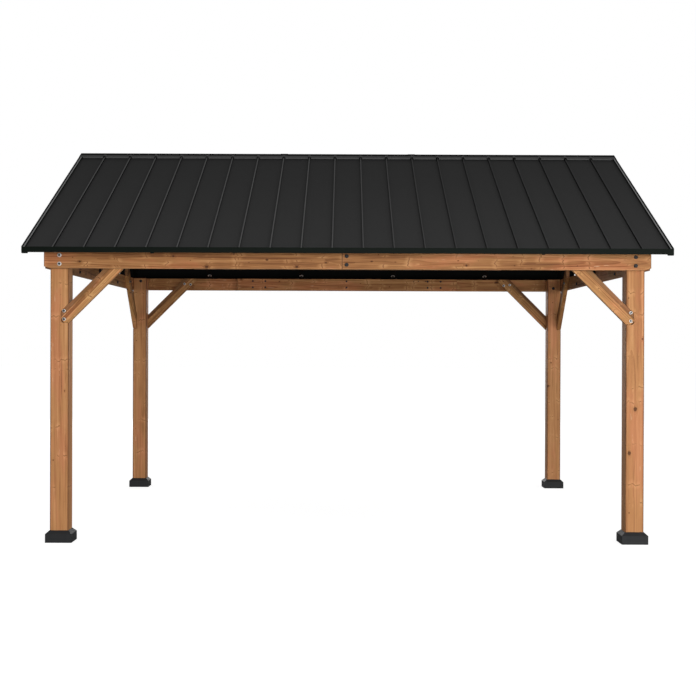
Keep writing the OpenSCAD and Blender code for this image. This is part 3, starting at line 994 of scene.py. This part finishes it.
@dataclass
class Fasteners:
    """The bolts of the timber joints and of the rafter feet."""

    foot_in: float = 0.034
    foot_rises: Point = (0.084, 0.024)
    head_bolts: tuple[Point, Point] = ((0.365, 2.018), (0.425, 2.012))
    beam_end_in: float = 0.110
    beam_joint: float = -0.008
    beam_rises: Point = (0.094, 0.032)
    splice_bolts: tuple[float, ...] = (-0.942, -0.817, -0.006, 0.805, 0.935)
    splice_margin: float = 0.020
    plugs: tuple[float, ...] = (0.665, 0.712, 0.785)
    post_bolts: Point = (2.046, 0.060)
    side_beam_bolts: Point = (0.822, 0.031)
    plate_bolts: Point = (0.024, 0.090)
    rafter_places: tuple[float, ...] = (-1.371, -0.457, 0.457, 1.371)
    rafter_bolt_in: float = 0.055
    foot_plate_bolts: float = 0.034
    foot_plate: float = 0.003

    def build(self) -> None:
        """Builds the bolts in one piece for each side and end."""
        for side in Side:
            self._side(side)
        for end in End:
            self._end(end)
        for side in Side:
            self._rafter_feet(side)

    @staticmethod
    def _finish(name: str, bolts: Iterable[Bolt]) -> None:
        """Sets a group of bolts down as one piece.

        Args:
            name: The piece's name.
            bolts: Its bolts.
        """
        mesh = bmesh.new()
        for bolt in bolts:
            bolt.add_to(mesh)
        set_down(mesh, name, (WASHER_ZINC, BOLT_STEEL))

    def _brace(self, brace: str, post: str, axis: int, toward: int, out: int) -> list[Bolt]:
        """Places a brace's bolts: two in its foot from outside, two in its head from inside.

        Args:
            brace: The brace's node.
            post: Its post's node.
            axis: The axis that the brace runs along.
            toward: The sign of the way to the post on that axis.
            out: The sign of the way out of the gazebo on the other axis.

        Returns:
            The bolts.
        """
        face, foot = edge(post, axis, -toward), edge(brace, Z, -1)
        spots = [(face + toward * self.foot_in, foot + rise, out) for rise in self.foot_rises]
        spots += [(face - toward * run, z, -out) for run, z in self.head_bolts]
        bolts = []
        for run, z, sign in spots:
            place, way = Vector((0, 0, z)), Vector((0, 0, 0))
            place[axis], place[1 - axis], way[1 - axis] = run, edge(brace, 1 - axis, sign), sign
            bolts.append(Bolt(place, way, BoltKind.BRIGHT))
        return bolts

    def _side(self, side: Side) -> None:
        """Bolts the front or back: beam ends, middle, splice board, braces and post heads.

        Args:
            side: The side.
        """
        out = Vector((0, side.value, 0))
        beam, splice = f"beam_{side.word}_left", f"splice_{side.word}"
        face, top = edge(beam, Y, side.value), edge(beam, Z, 1)
        heights = [edge(beam, Z, -1) + rise for rise in self.beam_rises]
        tip = edge(f"beam_{side.word}_right", X, 1) - self.beam_end_in
        # Painted shade: the right end's pair gets black washers, where the left end's matching
        # pair has zinc ones.
        kinds = {-tip: BoltKind.SILVER, self.beam_joint: BoltKind.BLACK, tip: BoltKind.BLACK}
        bolts = [Bolt(Vector((x, face, z)), out, kind)
                 for x, kind in kinds.items() for z in heights]
        inner, reach = edge(splice, Y, -side.value), edge(splice, X, 1) - self.splice_margin
        bolts += [Bolt(Vector((x, inner, z)), -out, BoltKind.SMALL)
                  for x in self.splice_bolts if abs(x) < reach for z in heights]
        plug_height = edge(splice, Z, 1) - self.splice_margin
        bolts += [Bolt(Vector((x, inner, plug_height)), -out, BoltKind.PLUG, 0.0)
                  for x in self.plugs]
        across, drop = self.post_bolts
        for end in End:
            post = f"post_{side.word}_{end.word}"
            bolts += self._brace(f"brace_{side.word}_{end.word}", post, X, end.value, side.value)
            height = top - drop * (0.5 if end is End.LEFT else 1.5)
            place = Vector((end.value * across, edge(post, Y, -side.value), height))
            bolts.append(Bolt(place, -out))
        self._finish(f"bolts_{side.word}", bolts)

    def _end(self, end: End) -> None:
        """Bolts the left or right end: side beam, king post plate and braces.

        Args:
            end: The end.
        """
        beam, plate = f"beam_{end.word}", f"king_post_{end.word}"
        bolts = []
        for node, (apart, rise), kind in ((beam, self.side_beam_bolts, BoltKind.BLACK),
                                          (plate, self.plate_bolts, BoltKind.SMALL)):
            inner, height = edge(node, X, -end.value), edge(beam, Z, -1) + rise
            bolts += [Bolt(Vector((inner, y, height)), Vector((-end.value, 0, 0)), kind)
                      for y in (-apart, apart)]
        for side in Side:
            bolts += self._brace(f"brace_{end.word}_{side.word}", f"post_{side.word}_{end.word}",
                                 Y, side.value, end.value)
        self._finish(f"bolts_{end.word}", bolts)

    def _rafter_feet(self, side: Side) -> None:
        """Bolts the rafters' foot plates and their lower flanges.

        Args:
            side: The side that they stand on.
        """
        low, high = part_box(f"beam_{side.word}_left")
        way, run, top = side.value, self.rafter_bolt_in, high.z + self.foot_plate
        inner = edge(f"beam_{side.word}_left", Y, -way) - way * run
        slope = self._slope(side)
        under = Vector((0, -way * math.sin(slope), -math.cos(slope)))
        bolts = []
        for x in self.rafter_places:
            bolts += [Bolt(Vector((x + step, (low.y + high.y) / 2, top)), UP, BoltKind.SMALL)
                      for step in (-self.foot_plate_bolts, self.foot_plate_bolts)]
            place = Vector((x, inner, top + run * math.tan(slope)))
            bolts.append(Bolt(place, under, BoltKind.FOOT))
        self._finish(f"rafter_bolts_{side.word}", bolts)

    @staticmethod
    def _slope(side: Side) -> float:
        """Works out the slope of a side in radians from the box of its roof."""
        low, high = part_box(f"roof_{side.word}")
        return math.atan2(high.z - low.z, high.y - low.y)


@dataclass
class EaveTabs:
    """Turned-down tabs of the eave trims: at the laps between lengths and under the rake ends."""

    laps: tuple[float, ...] = (-1.371, 1.371)
    lap_size: Point = (0.024, 0.006)
    end_size: Point = (0.044, 0.009)
    grip: float = 0.010
    depth: float = 0.010
    behind: float = 0.0006

    def build(self) -> None:
        """Builds the tabs of each side as one piece."""
        for side in Side:
            mesh = bmesh.new()
            for x in self.laps:
                self._tab(mesh, side, x, self.lap_size)
            for end in End:
                tip = edge(f"rake_trim_{end.word}_{side.word}", X, end.value)
                middle = tip - end.value * (self.end_size[0] / 2 + self.behind)
                self._tab(mesh, side, middle, self.end_size)
            set_down(mesh, f"eave_tabs_{side.word}", (TRIM_COAT,))

    def _tab(self, mesh: Mesh, side: Side, x: float, size: Point) -> None:
        """Adds one tab with clipped corners.

        Args:
            mesh: The mesh to add to.
            side: The side of the roof.
            x: The tab's middle.
            size: Its width and how far it hangs below the trim.
        """
        (width, drop), trim = size, f"eave_trim_{side.word}"
        foot, face = edge(trim, Z, -1), edge(trim, Y, side.value) - side.value * self.behind
        half, clip = width / 2, drop * 0.4
        outline = ((-half, self.grip), (-half, clip - drop), (clip - half, -drop),
                   (half - clip, -drop), (half, clip - drop), (half, self.grip))
        prism(mesh, [Vector((x + a, face, foot + b)) for a, b in outline],
              Vector((0, -side.value * self.depth, 0)))


@dataclass
class CoatedParts:
    """The steel nodes that keep their CAD shape, with eased edges and a coat."""

    ease: float = 0.0008
    weld: float = 0.00005
    flat_angle: float = math.radians(0.3)
    edge_angle: float = math.radians(30)

    def build(self) -> None:
        """Dresses every steel node."""
        plan: dict[CoatedSteel, list[str]] = {
            ROOF_COAT: ["roof_front", "roof_back"],
            FRAME_COAT: ["ridge_beam", "king_post_left", "king_post_right", "rafters_front",
                         "rafters_back"],
            TRIM_COAT: ["eave_trim_front", "eave_trim_back"],
            CAP_COAT: ["ridge_cap"],
            RAKE_COAT: [f"rake_trim_{end.word}_{side.word}" for end in End for side in Side],
            BASE_COAT: [f"base_{side.word}_{end.word}" for side in Side for end in End],
        }
        for finish, names in plan.items():
            for name in names:
                self._dress(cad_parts[name], finish)

    def _dress(self, node: bpy.types.Object, finish: CoatedSteel) -> None:
        """Gives one node its coat and eased edges.

        Args:
            node: The CAD node.
            finish: Its finish.
        """
        for held in node.material_slots:
            held.link = "OBJECT"
            held.material = material_of(finish)
        weld = node.modifiers.new("weld", "WELD")
        weld.merge_threshold = self.weld
        flat = node.modifiers.new("join_flats", "DECIMATE")
        flat.decimate_type, flat.angle_limit = "DISSOLVE", self.flat_angle
        bevel = node.modifiers.new("ease", "BEVEL")
        bevel.width, bevel.segments, bevel.limit_method = self.ease, 2, "ANGLE"
        bevel.angle_limit = self.edge_angle
        LOG.info("node %s: %s", node.name, finish.name)


@dataclass(frozen=True)
class Softbox:
    """One large softbox that faces the gazebo: its place, width and height, and watts."""

    name: str
    place: tuple[float, float, float]
    size: Point
    power: float
    aim: tuple[float, float, float] = (0.0, 0.0, 1.4)

    def hang(self) -> None:
        """Hangs the softbox."""
        data = bpy.data.lights.new(self.name, "AREA")
        data.shape, data.energy = "RECTANGLE", self.power
        data.size, data.size_y = self.size
        lamp = show(self.name, data)
        lamp.location = self.place
        lamp.rotation_mode = "QUATERNION"
        way = Vector(self.aim) - Vector(self.place)
        lamp.rotation_quaternion = way.to_track_quat("-Z", "Y")


@dataclass
class Studio:
    """Pale floor, soft light and the photograph's camera."""

    place: tuple[float, float, float] = (-0.0137, -10.752, 1.4262)
    focal: float = 64.78
    sensor: float = 36.0
    far: float = 200.0
    roll: float = 0.0036
    pitch: float = -0.00344
    yaw: float = -0.00198
    surround: float = 0.30
    floor_glow: float = 0.88
    floor_tone: float = 0.42
    floor_half: float = 60.0
    floor_drop: float = 0.0005
    lights: tuple[Softbox, ...] = (
        Softbox("front_light", (3.0, -13.0, 2.0), (8.0, 4.0), 930.0),
        Softbox("side_light", (9.5, -6.5, 2.6), (3.0, 4.0), 260.0),
        Softbox("left_light", (-9.5, -6.5, 2.6), (3.0, 4.0), 110.0),
        Softbox("back_light", (-1.0, 13.0, 2.6), (7.0, 3.0), 260.0))

    def build(self) -> None:
        """Builds the studio."""
        self._camera()
        self._floor()
        self._world()
        for light in self.lights:
            light.hang()

    def _camera(self) -> None:
        """Places the camera at the photograph's viewing angle."""
        turned = (Matrix.Rotation(self.yaw, 4, "Z")
                  @ Matrix.Rotation(math.pi / 2 + self.pitch, 4, "X")
                  @ Matrix.Rotation(self.roll, 4, "Z"))
        data = bpy.data.cameras.new("camera")
        data.sensor_width, data.lens, data.sensor_fit = self.sensor, self.focal, "HORIZONTAL"
        data.clip_end = self.far
        camera = show("camera", data)
        camera.matrix_world = Matrix.Translation(self.place) @ turned
        bpy.context.scene.camera = camera

    def _floor(self) -> None:
        """Lays a wide pale floor under the posts, which glows white to the camera only."""
        mesh = bmesh.new()
        half = self.floor_half
        mesh.faces.new([mesh.verts.new((x, y, -self.floor_drop)) for x, y in
                        ((-half, -half), (half, -half), (half, half), (-half, half))])
        floor = solid(mesh, "floor")
        sh = Shader("pale_floor")
        seen = sh.node("ShaderNodeLightPath").outputs["Is Camera Ray"]
        sh.coat({"Base Color": grey(self.floor_tone), "Roughness": 0.9,
                 "Specular IOR Level": 0.0, "Emission Color": grey(1.0),
                 "Emission Strength": sh.times(seen, self.floor_glow)})
        floor.data.materials.append(sh.material)

    def _world(self) -> None:
        """Surrounds the studio with white, which gives the gazebo only a dim even light."""
        world = bpy.data.worlds.new("studio")
        world.use_nodes = True
        tree = world.node_tree
        seen = tree.nodes.new("ShaderNodeLightPath").outputs["Is Camera Ray"]
        strength = tree.nodes.new("ShaderNodeMapRange")
        strength.inputs["To Min"].default_value = self.surround
        strength.inputs["To Max"].default_value = 1.0
        tree.links.new(seen, strength.inputs["Value"])
        background = tree.nodes["Background"]
        background.inputs["Color"].default_value = (1.0, 1.0, 1.0, 1.0)
        tree.links.new(strength.outputs["Result"], background.inputs["Strength"])
        bpy.context.scene.world = world


def main() -> None:
    """Builds the gazebo's pieces in order and reports them."""
    logging.basicConfig(level=logging.INFO, format="%(message)s")
    bpy.context.scene.view_settings.view_transform = "Standard"
    Studio().build()
    TimberFrame().build()
    CoatedParts().build()
    EaveTabs().build()
    Fasteners().build()


if __name__ == "__main__":
    main()
